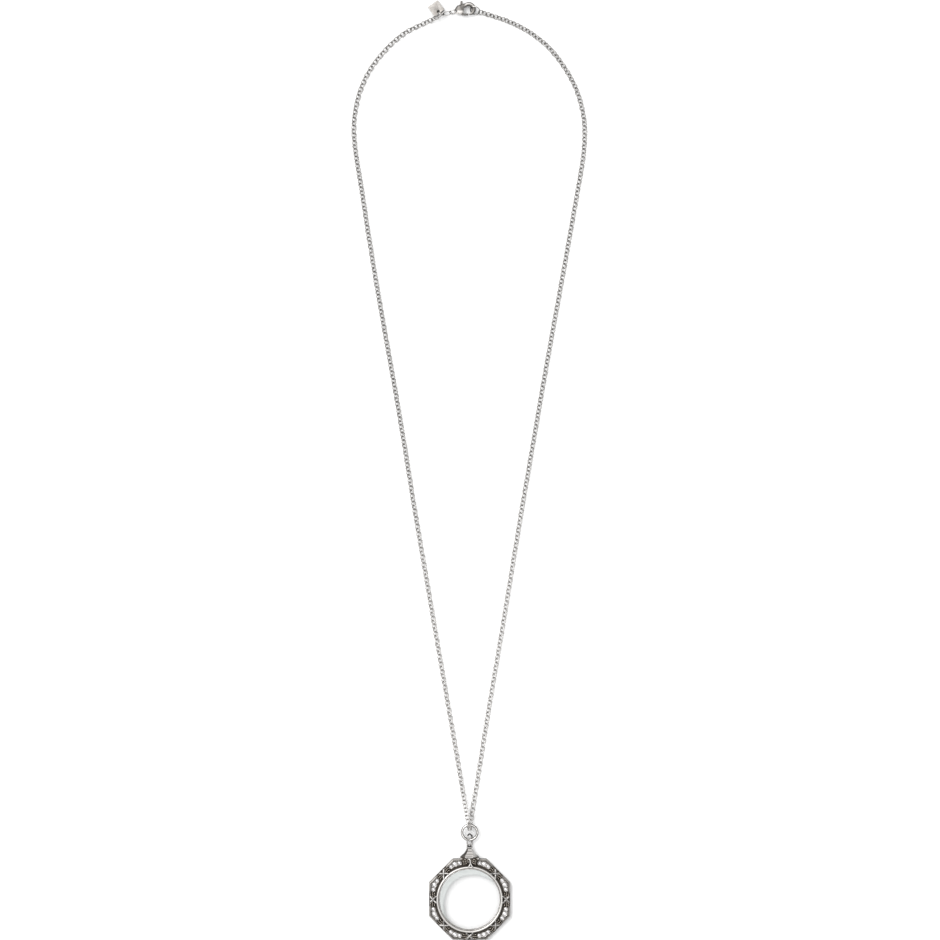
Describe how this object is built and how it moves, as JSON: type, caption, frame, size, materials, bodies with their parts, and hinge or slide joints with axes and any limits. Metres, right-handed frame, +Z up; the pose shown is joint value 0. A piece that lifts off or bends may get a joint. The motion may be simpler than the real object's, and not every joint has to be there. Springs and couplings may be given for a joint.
{
  "type": "magnifier pendant necklace",
  "caption": "Long fine-link necklace laid flat, with an octagonal magnifier pendant framed in small stones, a flared bail and a hook clasp with a sprung lever",
  "frame": {"origin": "middle of the bounding box at the surface that the necklace lies on", "axes": "+X across the necklace to the viewer's right, +Y along it from the pendant up to the clasp, +Z up from the surface"},
  "size_m": [0.1174, 0.4694, 0.0059],
  "materials": {
    "frame": "white metal, darkened in the hollows, satin on the rim",
    "ornament": "cast leaves, grains and ribbons, darkened, with worn bright tops",
    "bezel": "polished white metal",
    "lens": "clear polished glass",
    "stones": "small clear faceted stones, silvery",
    "cap": "satin white metal",
    "bail_rings": "polished white metal wire",
    "chain": "fine polished white metal links, slightly darkened",
    "clasp": "cast white metal, satin",
    "small_rings": "polished white metal wire",
    "plate": "matt white metal, bare"
  },
  "bodies": {
    "necklace": {"octagon_frame": "frame", "ornament_band": "ornament", "lens_bezel": "bezel", "lens": "lens", "bail_cap": "cap", "bail_link": "bail_rings", "pendant_ring": "bail_rings", "chain_left": "chain", "chain_right": "chain", "clasp_body": "clasp", "clasp_pin": "clasp", "tail_ring": "small_rings", "connector_link": "small_rings", "plate_ring": "small_rings", "end_ring": "small_rings", "plain_plate": "plate", "corner_stone_1": "stones", "corner_stone_2": "stones", "corner_stone_3": "stones", "corner_stone_4": "stones", "corner_stone_5": "stones", "corner_stone_6": "stones", "corner_stone_7": "stones", "corner_stone_8": "stones", "flank_stone_1": "stones", "flank_stone_2": "stones", "flank_stone_3": "stones", "flank_stone_4": "stones", "flank_stone_5": "stones", "flank_stone_6": "stones", "flank_stone_7": "stones", "flank_stone_8": "stones", "flank_stone_9": "stones", "flank_stone_10": "stones", "flank_stone_11": "stones", "flank_stone_12": "stones", "flank_stone_13": "stones", "flank_stone_14": "stones", "flank_stone_15": "stones", "flank_stone_16": "stones"},
    "lever": {"clasp_lever": "clasp"}
  },
  "joints": [
    {"name": "clasp_lever_hinge", "type": "hinge", "parent": "necklace", "child": "lever", "pos_m": [-0.0046, 0.22965, 0.0015], "axis": [0, 0, 1], "range_deg": [0, 25], "stiffness_Nm_per_rad": 0.0002, "springref_deg": -28.65}
  ]
}
